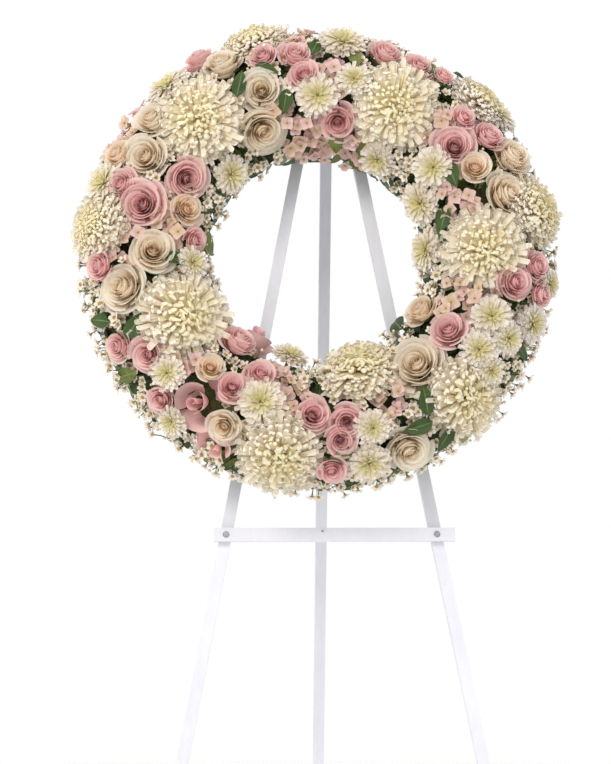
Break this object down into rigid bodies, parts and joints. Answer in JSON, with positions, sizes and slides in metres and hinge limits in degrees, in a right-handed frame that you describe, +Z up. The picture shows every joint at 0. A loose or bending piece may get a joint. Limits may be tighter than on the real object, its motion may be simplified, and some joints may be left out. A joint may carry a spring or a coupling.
{
  "type": "funeral wreath",
  "caption": "Round funeral wreath of cream and pink fresh flowers hung on a folding white wooden easel, with a greened foam ring and a hinged back leg.",
  "frame": {"origin": "on the floor, under the middle of the whole part's box", "axes": "+Z up, the wreath faces -Y, +X to the right as seen from the front"},
  "size_m": [0.5922, 0.6462, 1.2122],
  "materials": {
    "painted_wood": "satin white paint on sawn lath",
    "steel": "zinc plated",
    "tray_plastic": "matt green moulded plastic",
    "floral_foam": "wet open-celled floral foam",
    "greenery": "fresh leaves and small filler flowers",
    "mum_petals": "soft fresh petals, yellow-green heart",
    "cream_petals": "velvety fresh petals, peach heart",
    "pink_petals": "velvety fresh petals, deeper heart",
    "spray_mum_petals": "soft fresh petals"
  },
  "bodies": {
    "stand": {"easel_leg_left": "painted_wood", "easel_leg_right": "painted_wood", "easel_crossbar": "painted_wood", "crossbar_screw_left": "steel", "crossbar_screw_right": "steel", "crossbar_nail": "steel", "wreath_hook": "steel", "hinge_plate": "steel", "hinge_screw_left": "steel", "hinge_screw_right": "steel", "hinge_pin": "steel", "ring_tray": "tray_plastic", "foam_ring": "floral_foam", "greenery_bed": "greenery", "hanging_wire": "steel", "mum_1": "mum_petals", "mum_2": "mum_petals", "mum_3": "mum_petals", "mum_4": "mum_petals", "mum_5": "mum_petals", "mum_6": "mum_petals", "mum_7": "mum_petals", "mum_8": "mum_petals", "mum_9": "mum_petals", "mum_10": "mum_petals", "mum_11": "mum_petals", "cream_rose_1": "cream_petals", "cream_rose_2": "cream_petals", "cream_rose_3": "cream_petals", "cream_rose_4": "cream_petals", "cream_rose_5": "cream_petals", "cream_rose_6": "cream_petals", "cream_rose_7": "cream_petals", "cream_rose_8": "cream_petals", "cream_rose_9": "cream_petals", "cream_rose_10": "cream_petals", "cream_rose_11": "cream_petals", "cream_rose_12": "cream_petals", "pink_rose_1": "pink_petals", "pink_rose_2": "pink_petals", "pink_rose_3": "pink_petals", "pink_rose_4": "pink_petals", "pink_rose_5": "pink_petals", "pink_rose_6": "pink_petals", "pink_rose_7": "pink_petals", "pink_rose_8": "pink_petals", "pink_rose_9": "pink_petals", "pink_rose_10": "pink_petals", "pink_rose_11": "pink_petals", "pink_rose_12": "pink_petals", "pink_rose_13": "pink_petals", "pink_rose_14": "pink_petals", "spray_mum_1": "spray_mum_petals", "spray_mum_2": "spray_mum_petals", "spray_mum_3": "spray_mum_petals", "spray_mum_4": "spray_mum_petals", "spray_mum_5": "spray_mum_petals", "spray_mum_6": "spray_mum_petals", "spray_mum_7": "spray_mum_petals"},
    "back_leg": {"easel_leg_back": "painted_wood"}
  },
  "joints": [
    {"name": "back_leg_hinge", "type": "hinge", "parent": "stand", "child": "back_leg", "pos_m": [0.01707, -0.04947, 1.11753], "axis": [-1, 0, 0], "range_deg": [0, 30]}
  ]
}
